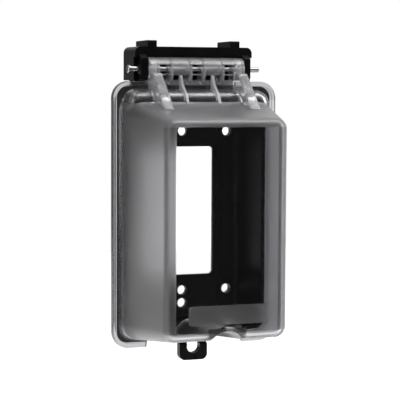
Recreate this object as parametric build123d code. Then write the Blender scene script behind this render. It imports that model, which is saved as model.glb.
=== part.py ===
from build123d import *
import os

# Weatherproof cover for one outlet that stays shut over a plugged-in cord.
# A moulded tray screws over a wall box, a deep clear lid swings on a steel pin
# above it, and a foam gasket seals the tray to the wall.
#
# X runs to the viewer's right and Z runs up. The origin lies on the wall, midway
# between the two screws of the wall box. "Depth" is the distance in front of the
# wall, so a depth of 20 lies at Y = -20.

# Wall box and device that the tray fits
box_screw_spacing = 83.34
plate_screw_spacing = 96.84
corner_screw_across = 48.6
corner_screw_up = 83.2
screw_hole_radius = 2.45
screw_countersink = 0.6
countersink_widening = 1.2
window_width = 33.4
window_height = 67.0
window_corner = 2.0

# Lid flange
lid_width = 88.0
lid_top = 67.3
lid_bottom = -67.1
lid_corner = 8.4
flange_back = 20.6
flange_thick = 2.0
flange_margin = 3.8
lip_width = 2.2
lip_rise = 0.9
lip_rounding = 0.45
root_bevel = 0.9
flange_front = flange_back + flange_thick
lip_front = flange_front + lip_rise

# Lid bubble, whose faces are placed by their distance from the flange's edges
lid_depth = 69.5
lid_wall = 2.1
bubble_top_drop = 7.7
bubble_corner_at_flange = 8.0
front_side_inset = 13.1
front_top_drop = 18.1
front_bottom_rise = 9.5
front_corner = 5.4
front_rounding = 4.3
shoulder_front = 32.5
shoulder_top_drop = 3.9
shoulder_height = 77.6
shoulder_fall = 1.0
shoulder_inset = 0.6
shoulder_corner = 7.0
shoulder_rounding = 4.5
least_rounding = 0.5
label_half_width = 20.1
label_height = 9.3
label_place = 7.8
label_corner = 1.5
label_rise = 0.5
bubble_half_width = lid_width / 2 - flange_margin
bubble_top_at_flange = lid_top - bubble_top_drop
bubble_bottom_at_flange = lid_bottom + flange_margin
front_half_width = lid_width / 2 - front_side_inset
front_top = lid_top - front_top_drop
front_bottom = lid_bottom + front_bottom_rise
shoulder_top = lid_top - shoulder_top_drop
label_bottom = front_bottom + label_place

# Finger groove under the lid
groove_radius = 9.4
groove_rise = 7.6
groove_slope = 0.051

# Hinge
pin_depth = 20.5
pin_above_lid = 6.1
pin_radius = 1.36
pin_projection = 4.0
pin_head_radius = 2.0
pin_head_thick = 1.2
pin_neck_radius = 1.57
pin_neck_gap = 0.1
pin_end_chamfer = 0.35
pin_seat_clearance = 0.02
pin_running_clearance = 0.06
pin_height = lid_top + pin_above_lid

# Barrel of the lid, a thin skin over the pin with webs that carry it
barrel_radius = 6.0
barrel_half_width = 25.4
barrel_back = 3.2
barrel_skin = 1.7
barrel_skin_foot = 3.0
barrel_foot_rise = 0.8
web_thick = 1.3
web_lobe_radius = 5.4
web_lobe_depth = 0.6
web_lobe_drop = 2.4
hinge_window_width = 5.8
hinge_window_height = 4.7
hinge_window_pitch = 17.3
rib_thick = 1.3
rib_place = 8.55
brace_top_drop = 2.1
brace_back = 4.0
rib_top_depth = 24.8
rib_kink_depth = 27.4
rib_kink_drop = 1.8
rib_bend_depth = 33.4
rib_bend_drop = 6.6
rib_reach = 36.4
arm_top_depth = 30.4
arm_bevel_depth = 31.6
arm_bevel_rise = 2.7
arm_bend_depth = 40.6
arm_bend_drop = 5.9
arm_reach = 49.5
arm_rounding = 0.8
arm_width = barrel_half_width - hinge_window_pitch - hinge_window_width / 2

# Tray
tray_wall = 2.0
tray_side_inset = 7.2
tray_end_inset = 6.9
tray_corner_at_wall = 5.0
ledge_inset = 2.4
ledge_gap = 0.4
ledge_thick = 2.0
rim_front = 27.0
rim_clearance = 0.5
rim_wall = 1.9
gasket_thick = 1.5
plate_thick = 2.9
floor_side_inset = 14.1
floor_top_drop = 14.7
floor_bottom_rise = 10.7
floor_corner = 4.0
floor_rounding = 3.2
recess_depth = 0.9
recess_half_width = 20.7
recess_half_height = 51.4
boss_radius = 4.9
rib_spacing = 19.0
rib_count = 5
tray_rib_thick = 1.6
mark_length = 9.0
mark_width = 0.9
mark_inset = 0.3
mark_rise = 1.4
centre_mark_length = 5.8
centre_mark_rise = 1.5
tray_half_width_at_wall = lid_width / 2 - tray_side_inset
tray_top_at_wall = lid_top - tray_end_inset
tray_bottom_at_wall = lid_bottom + tray_end_inset
ledge_front = flange_back - ledge_gap
ledge_back = ledge_front - ledge_thick
ledge_top = lid_top - ledge_inset
floor_half_width = lid_width / 2 - floor_side_inset
floor_top = lid_top - floor_top_drop
floor_bottom = lid_bottom + floor_bottom_rise
floor_front = gasket_thick + plate_thick
recess_floor = floor_front - recess_depth

# Cord ports in the tray's bottom wall, and the gap above them in the lid's flange
port_inner = 9.0
port_outer = 24.4
port_back = 7.0
port_corner = 3.0
port_frame = 1.8
gap_margin = 0.9
gap_bevel = 1.6

# Hasp, the tab below the tray that takes a padlock
hasp_width = 15.0
hasp_thick = 4.0
hasp_front = 21.5
hasp_drop = 8.4
hasp_corner = 3.0
hasp_step = 2.8
hasp_hole_radius = 3.55
hasp_hole_drop = 1.35
dimple_radius = 1.5
dimple_drop = 6.3
dimple_depth = 0.4

# Hood that carries the pin
hood_half_width = 31.5
hood_rise = 11.3
hood_back = 1.7
hood_front = 20.9
hood_wall = 2.2
hood_corner = 3.0
lip_gap = 0.5
ear_thick = 2.1
ear_gap = 0.4
ear_setback = 2.4
ear_step_rise = 6.0
knuckle_gap = 0.4
knuckle_back = 12.0
knuckle_front = 24.4
knuckle_flat_rise = 5.4
knuckle_bevel_rise = 0.9
boss_rise = 0.6
boss_outer_radius = 2.9
boss_tip_radius = 2.1
neck_half_width = 28.4
neck_overlap = 2.4
gusset_thick = 1.8
gusset_place = 13.0
gusset_rise = 3.6
gusset_foot = 14.5
gusset_toe_depth = 1.5
gusset_toe_height = 2.5
lug_inner = 19.9
lug_width = 4.95
lug_back_rise = 3.0
lug_front_rise = 3.2
lug_setback = 0.4
lug_rounding = 0.6
hood_top = pin_height + hood_rise
lip_bottom = pin_height + barrel_radius + lip_gap
ear_bottom = lid_top + ear_gap

# Wall gasket
gasket_edge_gap = 0.3
gasket_window_margin = 1.0

overcut = 2.0


def face_plane(depth):
    """Plane parallel to the wall at a depth, with local x along X and local y along Z."""
    return Plane(origin=(0, -depth, 0), x_dir=(1, 0, 0), z_dir=(0, -1, 0))


def side_plane(x):
    """Plane across X, with local x along the depth and local y along Z."""
    return Plane(origin=(x, 0, 0), x_dir=(0, -1, 0), z_dir=(-1, 0, 0))


def forward(shape, back, front):
    """Extrudes a front view sketch from one depth to another."""
    return extrude(face_plane(back) * shape, front - back, dir=(0, -1, 0))


def across(shape, start, end):
    """Extrudes a side view sketch, drawn as depth and height, from one X to another."""
    return extrude(side_plane(end) * shape, end - start, dir=(-1, 0, 0))


def block(left, right, back, front, bottom, top):
    """Box given by its limits in X, in depth and in height."""
    sketch = Pos((left + right) / 2, (bottom + top) / 2) * Rectangle(right - left, top - bottom)
    return forward(sketch, back, front)


def along(depth, start, end, first, last):
    """Value that runs evenly from first, at depth start, to last, at depth end."""
    return first + (last - first) * (depth - start) / (end - start)


def outline(depth, half_width, top, bottom, corner):
    """Rounded rectangle parallel to the wall."""
    sketch = Pos(0, (top + bottom) / 2) * RectangleRounded(2 * half_width, top - bottom, corner)
    return face_plane(depth) * sketch


def tapered(outline_at, back, front):
    """Solid between two depths whose outline changes evenly."""
    return loft([outline_at(back), outline_at(front)], ruled=True)


def front_edges(shape, depth):
    """Edges of a solid that lie at one depth."""
    return shape.edges().filter_by_position(Axis.Y, -depth - 0.001, -depth + 0.001)


# Lid outlines

def bubble_width(depth):
    """Half width of the bubble at a depth."""
    return along(depth, flange_back, lid_depth, bubble_half_width, front_half_width)


def bubble_height(depth):
    """Height of the bubble's outer top face at a depth."""
    return along(depth, flange_back, lid_depth, bubble_top_at_flange, front_top)


def bubble_foot(depth):
    """Height of the bubble's outer bottom face at a depth."""
    return along(depth, flange_back, lid_depth, bubble_bottom_at_flange, front_bottom)


def bubble_outline(inset):
    """Outline of the lid's bubble, drawn in from its outer face by an inset."""
    def at(depth):
        corner = along(depth, flange_back, lid_depth, bubble_corner_at_flange, front_corner)
        return outline(
            depth,
            bubble_width(depth) - inset,
            bubble_height(depth) - inset,
            bubble_foot(depth) + inset,
            corner - inset,
        )
    return at


def shoulder_outline(inset):
    """Outline of the raised shoulder above the bubble, next to the hinge."""
    def at(depth):
        half = bubble_width(depth) - shoulder_inset - inset
        top = along(depth, flange_back, shoulder_front, shoulder_top, shoulder_top - shoulder_fall)
        bottom = shoulder_top - shoulder_height
        return outline(depth, half, top - inset, bottom, shoulder_corner - inset)
    return at


def hollow_start(inset):
    """Depth where a body starts: at the flange, or behind it where it cuts the hollow."""
    return flange_back - (overcut if inset else 0)


def bubble_body(inset):
    """Solid of the bubble with its front edge rounded."""
    front = lid_depth - inset
    body = tapered(bubble_outline(inset), hollow_start(inset), front)
    return fillet(front_edges(body, front), front_rounding - inset)


def shoulder_body(inset):
    """Solid of the shoulder with its front edge rounded."""
    front = shoulder_front - inset
    body = tapered(shoulder_outline(inset), hollow_start(inset), front)
    return fillet(front_edges(body, front), max(shoulder_rounding - inset, least_rounding))


def flange_outline(inset):
    """Outline of the flange, drawn in from its edge by an inset."""
    def at(depth):
        return outline(
            depth,
            lid_width / 2 - inset,
            lid_top - inset,
            lid_bottom + inset,
            lid_corner - inset,
        )
    return at


def flange():
    """Flat flange with a rounded lip round its edge."""
    plate = tapered(flange_outline(0), flange_back, flange_front)
    lip = tapered(flange_outline(0), flange_front - lip_rise, lip_front)
    lip -= tapered(flange_outline(lip_width), flange_back, lip_front + overcut)
    lip = fillet(front_edges(lip, lip_front), lip_rounding)
    return plate + lip


def root():
    """Bevel that thickens the corner between the flange and the bubble."""
    foot = bubble_outline(-root_bevel)(flange_front)
    head = bubble_outline(0)(flange_front + root_bevel)
    return loft([foot, head], ruled=True)


def flange_gap():
    """Cutter that opens the flange below the bubble, with bevelled ends."""
    top = bubble_bottom_at_flange
    low = lid_bottom - overcut
    half = port_outer + gap_margin
    wide = half + gap_bevel
    sketch = Polygon((-half, top), (half, top), (wide, low), (-wide, low), align=None)
    return forward(sketch, flange_back - overcut, lip_front + overcut)


# Lid hinge

def pin_round(radius):
    """Side view disc about the pin's axis."""
    return Pos(pin_depth, pin_height) * Circle(radius)


def in_front_of_barrel_back():
    """Side view region in front of the barrel's flat back."""
    reach = 2 * barrel_radius
    return Pos(pin_depth - barrel_back + reach, pin_height) * Rectangle(2 * reach, 2 * reach)


def skin_profile():
    """Hook shaped section of the barrel's skin, over the top and the front of the pin."""
    ring = pin_round(barrel_radius) - pin_round(barrel_radius - barrel_skin)
    top = pin_height + barrel_radius
    low = pin_height - barrel_skin_foot
    front = Pos(pin_depth + barrel_radius, (top + low) / 2) * Rectangle(2 * barrel_radius, top - low)
    roof = Pos(pin_depth, pin_height + barrel_radius) * Rectangle(2 * barrel_radius, 2 * barrel_radius)
    return ring & (front + roof) & in_front_of_barrel_back()


def web_profile():
    """Section of a web: the barrel's round with a lobe that runs down to the flange."""
    lobe = Pos(pin_depth + web_lobe_depth, pin_height - web_lobe_drop) * Circle(web_lobe_radius)
    return (pin_round(barrel_radius) + lobe) & in_front_of_barrel_back()


def web_places():
    """Start and end in X of each web: at the barrel's ends and beside each window."""
    half = hinge_window_width / 2
    places = [
        (-barrel_half_width, -barrel_half_width + web_thick),
        (barrel_half_width - web_thick, barrel_half_width),
    ]
    for step in (-1, 0, 1):
        middle = step * hinge_window_pitch
        places.append((middle - half - web_thick, middle - half))
        places.append((middle + half, middle + half + web_thick))
    return places


def hinge_windows():
    """Cutters for the openings in the skin that show the pin."""
    cutters = []
    half_width = hinge_window_width / 2
    half_height = hinge_window_height / 2
    for step in (-1, 0, 1):
        middle = step * hinge_window_pitch
        cutters.append(
            block(
                middle - half_width,
                middle + half_width,
                pin_depth,
                pin_depth + barrel_radius + overcut,
                pin_height - half_height,
                pin_height + half_height,
            )
        )
    return cutters


def hinge_barrel():
    """Clear skin round the pin with its windows, its webs and the foot on the flange."""
    barrel = across(skin_profile(), -barrel_half_width, barrel_half_width)
    for cutter in hinge_windows():
        barrel -= cutter
    for start, end in web_places():
        barrel += across(web_profile(), start, end)
    foot = block(
        -barrel_half_width,
        barrel_half_width,
        flange_back,
        lip_front,
        lid_top - lip_width,
        lid_top + barrel_foot_rise,
    )
    return barrel + foot


def brace_foot():
    """Side view points where a rib or an arm sinks into the shoulder and the flange."""
    inner = flange_back + flange_thick / 2
    return [
        (shoulder_front, bubble_height(shoulder_front) - lid_wall / 2),
        (inner, shoulder_top - lid_wall / 2),
        (inner, lid_top),
        (pin_depth + brace_back, pin_height - brace_top_drop),
    ]


def hinge_ribs():
    """Two thin ribs that brace the barrel against the shoulder."""
    sketch = Polygon(
        (rib_top_depth, pin_height - brace_top_drop),
        (rib_kink_depth, lid_top - rib_kink_drop),
        (rib_bend_depth, lid_top - rib_bend_drop),
        (rib_reach, bubble_height(rib_reach) - lid_wall / 4),
        *brace_foot(),
        align=None,
    )
    half = rib_thick / 2
    return [across(sketch, side * rib_place - half, side * rib_place + half) for side in (-1, 1)]


def hinge_arms():
    """Two broad arms that carry the barrel's ends and run down onto the bubble."""
    sketch = Polygon(
        (arm_top_depth, pin_height - brace_top_drop),
        (arm_bevel_depth, lid_top + arm_bevel_rise),
        (arm_bend_depth, lid_top - arm_bend_drop),
        (arm_reach, bubble_height(arm_reach) - lid_wall / 4),
        *brace_foot(),
        align=None,
    )
    arms = []
    for side in (-1, 1):
        ends = sorted((side * barrel_half_width, side * (barrel_half_width - arm_width)))
        arm = across(sketch, ends[0], ends[1])
        arms.append(fillet(arm_rims(arm), arm_rounding))
    return arms


def arm_rims(arm):
    """Edges along both sides of an arm's sloping front."""
    sides = arm.edges().filter_by(Axis.X, reverse=True)
    return [
        edge
        for edge in sides
        if -edge.center().Y > flange_front + flange_thick
        and edge.center().Z > bubble_height(-edge.center().Y) + least_rounding
    ]


def groove_body(radius):
    """Round bar that forms the groove under the lid, sloping with the bottom wall."""
    start = bubble_bottom_at_flange + groove_rise - radius
    back = flange_back - overcut
    axis = Plane(
        origin=(0, -back, start - groove_slope * overcut),
        x_dir=(1, 0, 0),
        z_dir=(0, -1, groove_slope),
    )
    return extrude(axis * Circle(radius), lid_depth - back + overcut)


def groove_arch():
    """Wall of the groove inside the bubble."""
    bar = Pos(0, 0, lid_wall) * groove_body(groove_radius + lid_wall)
    return bar & bubble_body(0)


def label_panel():
    """Raised bare panel low on the lid's front."""
    sketch = Pos(0, label_bottom + label_height / 2) * RectangleRounded(
        2 * label_half_width,
        label_height,
        label_corner,
    )
    return forward(sketch, lid_depth - lid_wall, lid_depth + label_rise)


def pin_bore(clearance, half_length):
    """Cylinder about the pin's axis, wider than the pin by a clearance."""
    return across(pin_round(pin_radius + clearance), -half_length, half_length)


def lid():
    """Clear moulded lid: flange, bubble, shoulder, hinge barrel, ribs, arms and groove."""
    body = flange() + root() + bubble_body(0) + shoulder_body(0)
    body += label_panel()
    body += hinge_barrel()
    for piece in hinge_ribs() + hinge_arms():
        body += piece
    body -= flange_gap()
    body -= bubble_body(lid_wall)
    body -= shoulder_body(lid_wall)
    body += groove_arch()
    body -= groove_body(groove_radius)
    body -= pin_bore(pin_running_clearance, barrel_half_width + overcut)
    return body


# Tray outlines

def tray_outline(inset):
    """Outline of the tray's outer wall, drawn in by an inset."""
    def at(depth):
        half = along(depth, 0, ledge_front, tray_half_width_at_wall, lid_width / 2 - ledge_inset)
        top = tray_height(depth)
        bottom = along(depth, 0, ledge_front, tray_bottom_at_wall, lid_bottom + ledge_inset)
        corner = along(depth, 0, ledge_front, tray_corner_at_wall, lid_corner - ledge_inset)
        return outline(depth, half - inset, top - inset, bottom + inset, corner - inset)
    return at


def tray_height(depth):
    """Height of the tray's outer top face at a depth."""
    return along(depth, 0, ledge_front, tray_top_at_wall, ledge_top)


def pan_outline(outset):
    """Outline of the tray's hollow, which opens from the floor to the rim."""
    inset = lid_wall + rim_clearance + rim_wall
    half_rim = bubble_width(rim_front) - inset
    top_rim = bubble_height(rim_front) - inset
    bottom_rim = bubble_foot(rim_front) + inset

    def at(depth):
        half = along(depth, floor_front, rim_front, floor_half_width, half_rim)
        top = along(depth, floor_front, rim_front, floor_top, top_rim)
        bottom = along(depth, floor_front, rim_front, floor_bottom, bottom_rim)
        return outline(depth, half + outset, top + outset, bottom - outset, floor_corner + outset)
    return at


def pan_hollow():
    """Hollow of the tray with a rounded foot all round."""
    body = tapered(pan_outline(0), floor_front, rim_front + overcut)
    return fillet(front_edges(body, floor_front), floor_rounding)


def tray_shell():
    """Outer wall, ledge and rim, with the back cored out between ribs."""
    body = tapered(tray_outline(0), 0, ledge_front)
    body += tapered(bubble_outline(lid_wall + rim_clearance), ledge_back, rim_front)
    body -= pan_hollow()
    body -= tapered(tray_outline(tray_wall), -overcut, gasket_thick)
    core = tapered(tray_outline(tray_wall), gasket_thick, ledge_back)
    core -= tapered(pan_outline(tray_wall), gasket_thick - overcut, ledge_front)
    for rib in tray_ribs():
        core -= rib
    return body - core


def tray_ribs():
    """Cross walls left standing in the cored back, and the frames of the ports."""
    half = lid_width / 2
    half_rib = tray_rib_thick / 2
    ribs = []
    for step in range(rib_count):
        height = (step - (rib_count - 1) / 2) * rib_spacing
        ribs.append(block(-half, half, 0, ledge_front, height - half_rib, height + half_rib))
    for side in (-1, 1):
        ends = sorted((side * (port_inner - port_frame), side * (port_outer + port_frame)))
        ribs.append(block(ends[0], ends[1], 0, ledge_front, lid_bottom, floor_bottom + tray_wall))
        place = side * rib_spacing / 2
        ribs.append(
            block(place - half_rib, place + half_rib, 0, ledge_front, floor_top - tray_wall, lid_top)
        )
    return ribs


def cord_ports():
    """Cutters for the two ports beside the hasp and for the rim above them."""
    cutters = []
    length = 2 * (rim_front - port_back)
    rise = floor_bottom - lid_bottom + 2 * overcut
    for side in (-1, 1):
        middle = side * (port_inner + port_outer) / 2
        sketch = Pos(middle, -port_back - length / 2) * RectangleRounded(
            port_outer - port_inner,
            length,
            port_corner,
        )
        cutters.append(Pos(0, 0, lid_bottom - overcut) * extrude(sketch, rise))
    cutters.append(
        block(
            -port_outer,
            port_outer,
            ledge_front,
            rim_front + overcut,
            lid_bottom,
            floor_bottom + 2 * overcut,
        )
    )
    return cutters


def floor_recess():
    """Shallow seat for the device's plate, which leaves a round pad at each corner hole."""
    seat = Rectangle(2 * recess_half_width, 2 * recess_half_height)
    for x, z in corner_holes():
        seat -= Pos(x, z) * Circle(boss_radius)
    return forward(seat, recess_floor, floor_front + overcut)


def corner_holes():
    """Centres of the four outer screw holes."""
    return [
        (x * corner_screw_across / 2, z * corner_screw_up / 2)
        for x in (-1, 1)
        for z in (-1, 1)
    ]


def line_holes():
    """Centres of the screw holes on the centre line."""
    return [
        (0, side * spacing / 2)
        for side in (-1, 1)
        for spacing in (box_screw_spacing, plate_screw_spacing)
    ]


def screw_hole(x, z, front):
    """Through hole with a small countersink at its front."""
    small = Pos(x, z) * Circle(screw_hole_radius)
    wide = Pos(x, z) * Circle(screw_hole_radius + countersink_widening)
    hole = forward(small, -overcut, front + overcut)
    sink = loft(
        [
            face_plane(front - screw_countersink) * small,
            face_plane(front + screw_countersink) * wide,
        ],
        ruled=True,
    )
    return hole + sink


def tray_marks():
    """Short raised bars on the tray's sloping walls."""
    half_length = mark_length / 2
    half_width = mark_width / 2
    half_centre = centre_mark_length / 2
    low = floor_bottom + centre_mark_rise
    top = floor_front + mark_rise
    bars = [block(-half_centre, half_centre, recess_floor, top, low - half_width, low + half_width)]
    for side in (-1, 1):
        place = side * (floor_half_width - mark_inset)
        bars.append(
            block(place - half_width, place + half_width, recess_floor, top, -half_length, half_length)
        )
    return bars


def hasp():
    """Tab with the padlock hole below the tray, stepped back under the lid's groove."""
    half = hasp_width / 2
    top = floor_bottom - tray_wall
    low = lid_bottom - hasp_drop
    back = hasp_front - hasp_thick
    tab = block(-half, half, back, hasp_front, low, top)
    low_corners = tab.edges().filter_by(Axis.Y).group_by(Axis.Z)[0]
    tab = fillet(low_corners, hasp_corner)
    tab -= block(-hasp_width, hasp_width, ledge_front, hasp_front + overcut, top - hasp_step, top + overcut)
    tab -= forward(
        Pos(0, lid_bottom - hasp_hole_drop) * Circle(hasp_hole_radius),
        back - overcut,
        hasp_front + overcut,
    )
    tab -= forward(
        Pos(0, lid_bottom - dimple_drop) * Circle(dimple_radius),
        hasp_front - dimple_depth,
        hasp_front + overcut,
    )
    return tab


def hood():
    """Hollow hood over the hinge: back, top, front lip and two ears."""
    half = hood_half_width
    inner = half - ear_thick
    lip_back = hood_front - hood_wall
    low = ear_bottom - overcut
    body = block(-half, half, hood_back, hood_front, ear_bottom, hood_top)
    body = fillet(body.edges().filter_by(Axis.Y).group_by(Axis.Z)[-1], hood_corner)
    body -= block(-inner, inner, hood_back + hood_wall, lip_back, low, hood_top - hood_wall)
    body -= block(-inner, inner, lip_back - overcut, hood_front + overcut, low, lip_bottom)
    body -= block(
        -half - overcut,
        half + overcut,
        hood_front - ear_setback,
        hood_front + overcut,
        low,
        pin_height + ear_step_rise,
    )
    return body


def knuckle_profile():
    """Side view of the block that holds the pin, rounded where the flange swings past."""
    radius = pin_height - ear_bottom
    bevel_top = lip_bottom + knuckle_bevel_rise
    sketch = Polygon(
        (knuckle_back, ear_bottom),
        (knuckle_front, ear_bottom),
        (knuckle_front, pin_height + knuckle_flat_rise),
        (hood_front, bevel_top),
        (hood_front - hood_wall / 2, bevel_top + hood_wall / 2),
        (knuckle_back, hood_top - hood_wall / 2),
        align=None,
    )
    corner = Pos(pin_depth + radius, pin_height - radius) * Rectangle(2 * radius, 2 * radius)
    return sketch - (corner - pin_round(radius))


def knuckles():
    """Blocks inside the ears, each with a small boss round the pin."""
    inner = barrel_half_width + knuckle_gap
    outer = hood_half_width - ear_thick
    pieces = []
    for side in (-1, 1):
        ends = sorted((side * inner, side * outer))
        pieces.append(across(knuckle_profile(), ends[0], ends[1]))
        foot = side_plane(side * outer) * pin_round(boss_outer_radius)
        tip = side_plane(side * (outer + boss_rise)) * pin_round(boss_tip_radius)
        pieces.append(loft([foot, tip], ruled=True))
    return pieces


def neck():
    """Web that joins the hood to the tray, braced by gussets."""
    front = hood_back + hood_wall
    pieces = [
        block(
            -neck_half_width,
            neck_half_width,
            hood_back,
            front,
            tray_top_at_wall - neck_overlap,
            ear_bottom + hood_wall,
        )
    ]
    foot = tray_height(gusset_foot) - tray_wall / 2
    top = pin_height + gusset_rise
    sketch = Polygon(
        (hood_back + hood_wall / 2, top),
        (front, top),
        (gusset_foot - gusset_toe_depth, foot + gusset_toe_height),
        (gusset_foot, foot),
        (hood_back + hood_wall / 2, tray_top_at_wall),
        align=None,
    )
    for side in (-1, 1):
        middle = side * gusset_place
        pieces.append(across(sketch, middle - gusset_thick / 2, middle + gusset_thick / 2))
    return pieces


def lugs():
    """Two lugs that stand on the hood, with tops that rise to the front."""
    front = hood_front - lug_setback
    sketch = Polygon(
        (hood_back, hood_top - hood_wall / 2),
        (front, hood_top - hood_wall / 2),
        (front, hood_top + lug_front_rise),
        (hood_back, hood_top + lug_back_rise),
        align=None,
    )
    pieces = []
    for side in (-1, 1):
        ends = sorted((side * lug_inner, side * (lug_inner + lug_width)))
        lug = across(sketch, ends[0], ends[1])
        upper = lug.edges().filter_by(Axis.X).sort_by(Axis.Z)[-2:]
        pieces.append(fillet(upper, lug_rounding))
    return pieces


def base():
    """Black moulded base: tray, hood, hasp, holes and ports."""
    body = tray_shell()
    for bar in tray_marks():
        body += bar
    body += hood()
    for piece in neck() + knuckles() + lugs():
        body += piece
    body += hasp()
    for cutter in cord_ports():
        body -= cutter
    body -= floor_recess()
    window = RectangleRounded(window_width, window_height, window_corner)
    body -= forward(window, -overcut, floor_front + overcut)
    for x, z in line_holes():
        body -= screw_hole(x, z, recess_floor)
    for x, z in corner_holes():
        body -= screw_hole(x, z, floor_front)
    body -= pin_bore(pin_seat_clearance, hood_half_width + overcut)
    return body


def wall_gasket():
    """Foam sheet in the back of the tray, cut for the window and the screws."""
    sheet = extrude(tray_outline(tray_wall + gasket_edge_gap)(0), gasket_thick)
    window = RectangleRounded(
        window_width + 2 * gasket_window_margin,
        window_height + 2 * gasket_window_margin,
        window_corner + gasket_window_margin,
    )
    sheet -= forward(window, -overcut, gasket_thick + overcut)
    for x, z in corner_holes() + line_holes():
        hole = Pos(x, z) * Circle(screw_hole_radius)
        sheet -= forward(hole, -overcut, gasket_thick + overcut)
    return sheet


def hinge_pin():
    """Steel pin with a head and a thicker neck at its left end."""
    half_length = hood_half_width + pin_projection
    neck_start = pin_head_thick - half_length
    neck_end = ear_thick - hood_half_width - boss_rise - pin_neck_gap
    head = across(pin_round(pin_head_radius), -half_length, neck_start)
    head = chamfer(head.edges().group_by(Axis.X)[0], pin_end_chamfer)
    thick = across(pin_round(pin_neck_radius), neck_start, neck_end)
    shaft = across(pin_round(pin_radius), neck_end, half_length)
    shaft = chamfer(shaft.edges().group_by(Axis.X)[-1], pin_end_chamfer)
    return head + thick + shaft


os.makedirs("parts", exist_ok=True)
export_step(base(), "parts/base.step")
export_step(lid(), "parts/lid.step")
export_step(hinge_pin(), "parts/hinge_pin.step")
export_step(wall_gasket(), "parts/wall_gasket.step")
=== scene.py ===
import math
from collections import namedtuple

import bpy
from mathutils import Matrix, Vector


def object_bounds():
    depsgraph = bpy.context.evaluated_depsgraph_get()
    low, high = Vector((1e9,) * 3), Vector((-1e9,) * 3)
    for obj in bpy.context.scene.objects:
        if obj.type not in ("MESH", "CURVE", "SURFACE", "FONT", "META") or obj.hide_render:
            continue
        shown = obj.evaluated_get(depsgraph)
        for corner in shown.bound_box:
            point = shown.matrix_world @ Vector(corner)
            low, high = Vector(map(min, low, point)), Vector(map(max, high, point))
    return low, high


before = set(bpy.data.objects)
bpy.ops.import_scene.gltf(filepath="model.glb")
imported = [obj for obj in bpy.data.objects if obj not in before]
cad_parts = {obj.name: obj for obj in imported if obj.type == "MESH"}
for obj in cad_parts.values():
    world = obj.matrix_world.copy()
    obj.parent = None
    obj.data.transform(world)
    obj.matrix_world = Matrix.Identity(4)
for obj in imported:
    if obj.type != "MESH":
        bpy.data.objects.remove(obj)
cad_low, cad_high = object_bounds()

MM = 0.001

# Viewpoint, fitted to the hinge pin, the screw holes and the lid's outline
CAMERA_TURN = math.radians(20.46)
CAMERA_DROP = math.radians(4.4)
CAMERA_ROLL = math.radians(0.26)
CAMERA_DISTANCE = 790 * MM
CAMERA_TARGET = Vector((11.26 * MM, 0, 5.11 * MM))
CAMERA_LENS = 135
CAMERA_SENSOR = 36

# Surroundings: a room with a white card behind the object, another overhead, and more light from the right.
# An edge is the direction's component toward a card at which the level changes, and a blur is its softness.
ROOM_LIGHT = 0.45
ROOM_THROUGH = 0.85
CARD_THROUGH = 1.45
CARD_EDGE = 0.8
ROOM_MIRRORED = 0.03
CARD_MIRRORED = 0.35
TOP_MIRRORED = 0.45
TOP_EDGE = 0.3
CARD_BLUR = 0.12
LEFT_SHARE = 0.25
RIGHT_SHARE = 1.6
SHARE_BLUR = 0.8

# Soft boxes, all aimed at the origin, in metres and watts
Lamp = namedtuple("Lamp", "name place size power")
LAMPS = (
    Lamp(name="left_box", place=(-0.9, -0.5, 0.35), size=(0.5, 0.9), power=4),
    Lamp(name="top_box", place=(0.1, -0.35, 0.9), size=(0.8, 0.5), power=4.6),
    Lamp(name="right_box", place=(1.2, -0.1, 0.1), size=(1.4, 1.4), power=8),
)

# Floor, in metres, and how white it is to light and to the eye
FLOOR_DROP = 0.30
FLOOR_SIZE = 6.0
FLOOR_FRONT = 0.8
FLOOR_PAINT = 0.9
FLOOR_GLOW = 0.75

# Edges of the lid's zones. Forward is -Y. Half widths and spans are measured to either side of the middle.
ZONE_BLUR = 0.1 * MM
BUBBLE_SLOPE = 0.2127
BUBBLE_TOP = 64.1 * MM
BUBBLE_FRONT = -65.2 * MM
PANEL_HALF_WIDTH = 26.6 * MM
PANEL_FRONT = -66.6 * MM
PANEL_TOP = 45.4 * MM
PANEL_BOTTOM = -53.9 * MM
LABEL_HALF_WIDTH = 20.2 * MM
LABEL_FRONT = -69.6 * MM
LABEL_TOP = -40.3 * MM
LABEL_BOTTOM = -50 * MM
GROOVE_HALF_WIDTH = 12.2 * MM
GROOVE_MOUTH_HALF_WIDTH = 9.7 * MM
GROOVE_MOUTH_BACK = -65 * MM
GROOVE_TOP = -52 * MM
ROOT_FRONT = -26.5 * MM
SHOULDER_FRONT = -33 * MM
SHOULDER_BOTTOM = 56.5 * MM
FLANGE_FRONT = -23.7 * MM
FLANGE_TOP = 68.3 * MM
LIP_TOP_BOTTOM = 58 * MM
LIP_TOP_INNER = 26 * MM
HINGE_HALF_WIDTH = 25.6 * MM
HINGE_FRONT = -26.7 * MM
HINGE_BOTTOM = 65.4 * MM
FOOT_TOP = 70 * MM
WEB_SPANS = ((2.8 * MM, 4.3 * MM), (13 * MM, 14.5 * MM))
WEB_FRONT = -24 * MM
WEB_TOP = 73.5 * MM
RIB_SPAN = (7.8 * MM, 9.3 * MM)
RIB_TOP = 70.4 * MM
ARM_SPAN = (20 * MM, 25.7 * MM)

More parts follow.
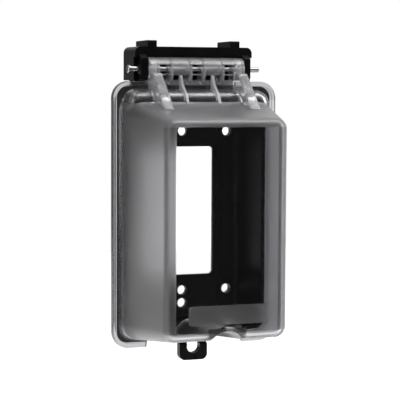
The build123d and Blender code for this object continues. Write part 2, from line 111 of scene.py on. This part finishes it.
# Looks of the lid's plastic: roughness, share of light let through and grey of the tint.
# A later zone covers an earlier one.
Look = namedtuple("Look", "roughness through grey")
FROSTED = Look(roughness=0.36, through=0.96, grey=0.50)
ZONE_LOOKS = {
    "panel": Look(roughness=0.03, through=1.0, grey=0.98),
    # The corner zone's darker grey is painted shade on the front's rounded side edges.
    "corner": FROSTED._replace(grey=0.30),
    # The sill zone's paler grey is a painted highlight along the front's rounded bottom edge.
    "sill_painted_highlight": FROSTED._replace(grey=0.85),
    # The groove zone's near-black grey is painted shade inside the finger groove and its mouth.
    "groove_painted_shade": Look(roughness=0.28, through=0.97, grey=0.16),
    "root": Look(roughness=0.20, through=0.98, grey=0.70),
    "shoulder": Look(roughness=0.10, through=0.98, grey=0.90),
    "flange": Look(roughness=0.20, through=0.95, grey=0.54),
    "lip_top": Look(roughness=0.16, through=0.95, grey=0.42),
    "hinge": Look(roughness=0.24, through=0.90, grey=0.85),
    "foot": Look(roughness=0.10, through=0.86, grey=0.95),
    "webs": Look(roughness=0.15, through=0.80, grey=0.95),
    "arms": Look(roughness=0.11, through=0.82, grey=1.0),
    "ribs": Look(roughness=0.12, through=0.70, grey=1.0),
    "label": Look(roughness=0.30, through=0.92, grey=0.55),
}
LID_BLUE_GAIN = 1.03
POLYCARBONATE_IOR = 1.58


# Shader nodes

def feed(tree, entry, value):
    """Sets a node's input to a number, or links it to another node's output."""
    if isinstance(value, bpy.types.NodeSocket):
        tree.links.new(value, entry)
    else:
        entry.default_value = value


def node(tree, kind, **values):
    """Adds a shader node and sets its properties and its inputs."""
    made = tree.nodes.new(kind)
    for name, value in values.items():
        if hasattr(made, name):
            setattr(made, name, value)
        else:
            feed(tree, made.inputs[name.replace("_", " ")], value)
    return made


def calculated(tree, operation, first, second):
    """Result of a calculation with two values."""
    made = node(tree, "ShaderNodeMath", operation=operation)
    feed(tree, made.inputs[0], first)
    feed(tree, made.inputs[1], second)
    return made.outputs[0]


def blended(tree, factor, first, second):
    """Value that runs from first to second as the factor goes from 0 to 1."""
    return node(tree, "ShaderNodeMix", data_type="FLOAT", Factor=factor, A=first, B=second).outputs["Result"]


def mixed(tree, factor, first, second):
    """Colour that runs from first to second as the factor goes from 0 to 1."""
    made = node(tree, "ShaderNodeMix", data_type="RGBA", Factor=factor, A=(*first, 1), B=(*second, 1))
    return made.outputs["Result"]


def ranged(tree, value, source, target, shape="LINEAR"):
    """Maps a value from a source range onto a target range."""
    made = node(tree, "ShaderNodeMapRange", interpolation_type=shape, Value=value)
    made.inputs["From Min"].default_value, made.inputs["From Max"].default_value = source
    made.inputs["To Min"].default_value, made.inputs["To Max"].default_value = target
    return made.outputs["Result"]


def spread(tree, value, low, high):
    """Maps the middle of a noise, from 0.3 to 0.7, onto a range."""
    return ranged(tree, value, (0.3, 0.7), (low, high))


def risen(tree, facing, low, high, edge, blur):
    """Level that rises from low to high across a blurred edge."""
    return ranged(tree, facing, (edge - blur, edge + blur), (low, high), shape="SMOOTHSTEP")


def separated(tree, coordinates):
    """The X, Y and Z of object or generated coordinates."""
    place = node(tree, "ShaderNodeTexCoord").outputs[coordinates]
    return node(tree, "ShaderNodeSeparateXYZ", Vector=place).outputs


def noise(tree, scale, detail=2.0, stretch=(1, 1, 1)):
    """Noise in object space, with features about one over scale metres across."""
    place = node(tree, "ShaderNodeTexCoord").outputs["Object"]
    stretched = node(tree, "ShaderNodeMapping", Vector=place, Scale=stretch).outputs[0]
    return node(tree, "ShaderNodeTexNoise", Vector=stretched, Scale=scale, Detail=detail).outputs["Fac"]


def bump(tree, height, strength, distance):
    """Bump from a height."""
    return node(tree, "ShaderNodeBump", Height=height, Strength=strength, Distance=distance).outputs[0]


# Camera and studio

def make_camera():
    """Camera at the photograph's viewing angle."""
    turn, drop = CAMERA_TURN, CAMERA_DROP
    back = Vector((-math.sin(turn) * math.cos(drop), -math.cos(turn) * math.cos(drop), math.sin(drop)))
    right = Vector((math.cos(turn), -math.sin(turn), 0))
    up = back.cross(right)
    rolled_right = right * math.cos(CAMERA_ROLL) + up * math.sin(CAMERA_ROLL)
    rolled_up = up * math.cos(CAMERA_ROLL) - right * math.sin(CAMERA_ROLL)
    data = bpy.data.cameras.new("camera")
    data.lens = CAMERA_LENS
    data.sensor_width = CAMERA_SENSOR
    camera = bpy.data.objects.new("camera", data)
    place = Matrix((rolled_right, rolled_up, back)).transposed().to_4x4()
    place.translation = CAMERA_TARGET + back * CAMERA_DISTANCE
    camera.matrix_world = place
    bpy.context.scene.collection.objects.link(camera)
    bpy.context.scene.camera = camera


def make_world():
    """White surroundings for the eye, and softer ones for light, mirroring and seeing through."""
    world = bpy.data.worlds.new("studio")
    bpy.context.scene.world = world
    world.use_nodes = True
    tree = world.node_tree
    tree.nodes.clear()
    ray = node(tree, "ShaderNodeLightPath").outputs
    toward = separated(tree, "Generated")
    share = risen(tree, toward["X"], LEFT_SHARE, RIGHT_SHARE, 0, SHARE_BLUR)
    through = risen(tree, toward["Y"], ROOM_THROUGH, CARD_THROUGH, CARD_EDGE, CARD_BLUR)
    behind = risen(tree, toward["Y"], ROOM_MIRRORED, CARD_MIRRORED, 0, CARD_BLUR)
    overhead = risen(tree, toward["Z"], 0, TOP_MIRRORED, TOP_EDGE, CARD_BLUR)
    mirrored = calculated(tree, "MULTIPLY", calculated(tree, "ADD", behind, overhead), share)
    shown = blended(tree, ray["Glossy Depth"], through, mirrored)
    showing = calculated(tree, "MAXIMUM", ray["Is Glossy Ray"], ray["Is Transmission Ray"])
    unseen = blended(tree, showing, calculated(tree, "MULTIPLY", share, ROOM_LIGHT), shown)
    strength = blended(tree, ray["Is Camera Ray"], unseen, 1.0)
    light = node(tree, "ShaderNodeBackground", Color=(1, 1, 1, 1), Strength=strength)
    node(tree, "ShaderNodeOutputWorld", Surface=light.outputs[0])


def make_lamp(name, place, size, power):
    """Soft box at a place, aimed at the origin."""
    data = bpy.data.lights.new(name, "AREA")
    data.shape = "RECTANGLE"
    data.size, data.size_y = size
    data.energy = power
    lamp = bpy.data.objects.new(name, data)
    lamp.location = place
    lamp.rotation_mode = "QUATERNION"
    lamp.rotation_quaternion = Vector(place).to_track_quat("Z", "Y")
    bpy.context.scene.collection.objects.link(lamp)


def make_floor():
    """Pale floor below the object."""
    mesh = bpy.data.meshes.new("floor")
    half = FLOOR_SIZE / 2
    corners = [(-half, -FLOOR_FRONT), (half, -FLOOR_FRONT), (half, half), (-half, half)]
    mesh.from_pydata([(x, y, cad_low.z - FLOOR_DROP) for x, y in corners], [], [(0, 1, 2, 3)])
    mesh.materials.append(floor_white())
    floor = bpy.data.objects.new("floor", mesh)
    bpy.context.scene.collection.objects.link(floor)


# Materials

def new_material(name):
    """Material with an empty node tree."""
    material = bpy.data.materials.new(name)
    material.use_nodes = True
    material.node_tree.nodes.clear()
    return material


def surfaced(material, shader):
    """Material with a shader linked to its output."""
    node(material.node_tree, "ShaderNodeOutputMaterial", Surface=shader.outputs[0])
    return material


def floor_white():
    """Matt white that stays white to the eye and still takes the object's shadow."""
    material = new_material("floor_white")
    tree = material.node_tree
    ray = node(tree, "ShaderNodeLightPath").outputs
    seen = calculated(tree, "MAXIMUM", ray["Is Camera Ray"], ray["Is Transmission Ray"])
    shown = calculated(tree, "MAXIMUM", seen, ray["Is Glossy Ray"])
    level = calculated(tree, "MULTIPLY", shown, FLOOR_GLOW)
    paint = node(tree, "ShaderNodeBsdfDiffuse", Color=(FLOOR_PAINT, FLOOR_PAINT, FLOOR_PAINT, 1))
    glow = node(tree, "ShaderNodeEmission", Color=(1, 1, 1, 1), Strength=level)
    both = node(tree, "ShaderNodeAddShader")
    tree.links.new(paint.outputs[0], both.inputs[0])
    tree.links.new(glow.outputs[0], both.inputs[1])
    return surfaced(material, both)


def black_plastic():
    """Moulded black polycarbonate with a fine satin grain."""
    material = new_material("black_plastic")
    tree = material.node_tree
    cloud = noise(tree, scale=60, detail=3)
    return surfaced(material, node(
        tree, "ShaderNodeBsdfPrincipled",
        Base_Color=mixed(tree, cloud, (0.0014, 0.0014, 0.0016), (0.0028, 0.0028, 0.003)),
        Roughness=spread(tree, cloud, low=0.30, high=0.42),
        Normal=bump(tree, noise(tree, scale=2500), strength=0.08, distance=0.05 * MM),
        Specular_IOR_Level=0.22,
    ))


def bright_steel():
    """Drawn stainless wire with faint lines along its length."""
    material = new_material("bright_steel")
    tree = material.node_tree
    lines = noise(tree, scale=900, detail=3, stretch=(0.04, 1, 1))
    return surfaced(material, node(
        tree, "ShaderNodeBsdfPrincipled",
        Base_Color=mixed(tree, lines, (0.38, 0.37, 0.355), (0.50, 0.49, 0.475)),
        Roughness=spread(tree, lines, low=0.12, high=0.24),
        Normal=bump(tree, lines, strength=0.15, distance=0.02 * MM),
        Metallic=1.0,
    ))


def foam():
    """Closed-cell foam."""
    material = new_material("foam")
    tree = material.node_tree
    place = node(tree, "ShaderNodeTexCoord").outputs["Object"]
    cells = node(tree, "ShaderNodeTexVoronoi", Vector=place, Scale=2200).outputs["Distance"]
    cloud = noise(tree, scale=300, detail=3)
    return surfaced(material, node(
        tree, "ShaderNodeBsdfPrincipled",
        Base_Color=mixed(tree, cloud, (0.03, 0.03, 0.032), (0.055, 0.055, 0.058)),
        Roughness=0.95,
        Normal=bump(tree, cells, strength=0.5, distance=0.2 * MM),
    ))


def clear_polycarbonate():
    """Clear polycarbonate: frosted walls, polished front, hazy hinge and braces."""
    material = new_material("clear_polycarbonate")
    tree = material.node_tree
    zones = lid_zones(tree)

    def by_zone(part):
        layers = [(zones[name], getattr(look, part)) for name, look in ZONE_LOOKS.items()]
        return layered(tree, getattr(FROSTED, part), layers)

    grey = by_zone("grey")
    blue = calculated(tree, "MULTIPLY", grey, LID_BLUE_GAIN)
    tint = node(tree, "ShaderNodeCombineColor", Red=grey, Green=grey, Blue=blue)
    return surfaced(material, node(
        tree, "ShaderNodeBsdfPrincipled",
        Base_Color=tint.outputs[0],
        Roughness=by_zone("roughness"),
        Transmission_Weight=by_zone("through"),
        IOR=POLYCARBONATE_IOR,
    ))


def layered(tree, base, layers):
    """Value that starts at a base and takes each layer's value inside its zone."""
    value = base
    for zone, inside in layers:
        value = blended(tree, zone, value, inside)
    return value


# Zones of the lid

def beyond(tree, value, edge, sign):
    """1 where a value lies beyond an edge, on the side of the sign."""
    return ranged(tree, value, (edge - sign * ZONE_BLUR, edge + sign * ZONE_BLUR), (0, 1))


def combined(tree, operation, zones):
    """Joins zones: MULTIPLY for what all of them hold, MAXIMUM for what any of them holds."""
    total = zones[0]
    for zone in zones[1:]:
        total = calculated(tree, operation, total, zone)
    return total


def inside_box(tree, axes, **limits):
    """1 inside a box given as low and high limits on side, Y and Z; None leaves an end open."""
    edges = []
    for axis, (low, high) in limits.items():
        if low is not None:
            edges.append(beyond(tree, axes[axis], low, 1))
        if high is not None:
            edges.append(beyond(tree, axes[axis], high, -1))
    return combined(tree, "MULTIPLY", edges)


def above_bubble(tree, axes):
    """1 above the bubble's sloping top, where the ribs and the arms stand."""
    sunk = calculated(tree, "MULTIPLY", axes["Y"], BUBBLE_SLOPE)
    return beyond(tree, calculated(tree, "SUBTRACT", axes["Z"], sunk), BUBBLE_TOP, 1)


def lid_zones(tree):
    """Zones of the lid by name, each 1 inside and 0 outside."""
    place = separated(tree, "Object")
    side = node(tree, "ShaderNodeMath", operation="ABSOLUTE")
    tree.links.new(place["X"], side.inputs[0])
    axes = {"side": side.outputs[0], "Y": place["Y"], "Z": place["Z"]}
    above = above_bubble(tree, axes)

    def box(side=(None, None), Y=(None, None), Z=(None, None)):
        return inside_box(tree, axes, side=side, Y=Y, Z=Z)

    return {
        "panel": box((None, PANEL_HALF_WIDTH), (None, PANEL_FRONT), (PANEL_BOTTOM, PANEL_TOP)),
        # corner: painted shade on the front's rounded side edges
        "corner": box((PANEL_HALF_WIDTH, None), (None, BUBBLE_FRONT), (PANEL_BOTTOM, PANEL_TOP)),
        # sill: painted highlight along the front's rounded bottom edge
        "sill_painted_highlight": box(Y=(None, BUBBLE_FRONT), Z=(None, PANEL_BOTTOM)),
        # groove: painted shade inside the finger groove and its mouth
        "groove_painted_shade": combined(tree, "MAXIMUM", [
            box(side=(None, GROOVE_MOUTH_HALF_WIDTH), Z=(None, GROOVE_TOP)),
            box((None, GROOVE_HALF_WIDTH), (GROOVE_MOUTH_BACK, None), (None, GROOVE_TOP)),
        ]),
        "root": box(Y=(ROOT_FRONT, None)),
        "shoulder": box(Y=(SHOULDER_FRONT, None), Z=(SHOULDER_BOTTOM, None)),
        "flange": box(Y=(FLANGE_FRONT, None), Z=(None, FLANGE_TOP)),
        "lip_top": box((LIP_TOP_INNER, None), (FLANGE_FRONT, None), (LIP_TOP_BOTTOM, FLANGE_TOP)),
        "hinge": box((None, HINGE_HALF_WIDTH), (HINGE_FRONT, None), (HINGE_BOTTOM, None)),
        "foot": box((None, HINGE_HALF_WIDTH), (HINGE_FRONT, None), (HINGE_BOTTOM, FOOT_TOP)),
        "webs": combined(tree, "MAXIMUM", [
            box(span, (None, WEB_FRONT), (HINGE_BOTTOM, WEB_TOP)) for span in WEB_SPANS]),
        "arms": combined(tree, "MULTIPLY", [box(ARM_SPAN, (None, FLANGE_FRONT)), above]),
        "ribs": combined(tree, "MULTIPLY", [box(RIB_SPAN, (None, FLANGE_FRONT), (None, RIB_TOP)), above]),
        "label": box((None, LABEL_HALF_WIDTH), (None, LABEL_FRONT), (LABEL_BOTTOM, LABEL_TOP)),
    }


# The whole scene

def dress():
    """Gives each piece of the frame its material."""
    materials = {
        "base": black_plastic(),
        "lid": clear_polycarbonate(),
        "hinge_pin": bright_steel(),
        "wall_gasket": foam(),
    }
    for name, material in materials.items():
        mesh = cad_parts[name].data
        mesh.materials.clear()
        mesh.materials.append(material)


bpy.context.scene.view_settings.view_transform = "Standard"
make_camera()
make_world()
make_floor()
for lamp in LAMPS:
    make_lamp(*lamp)
dress()
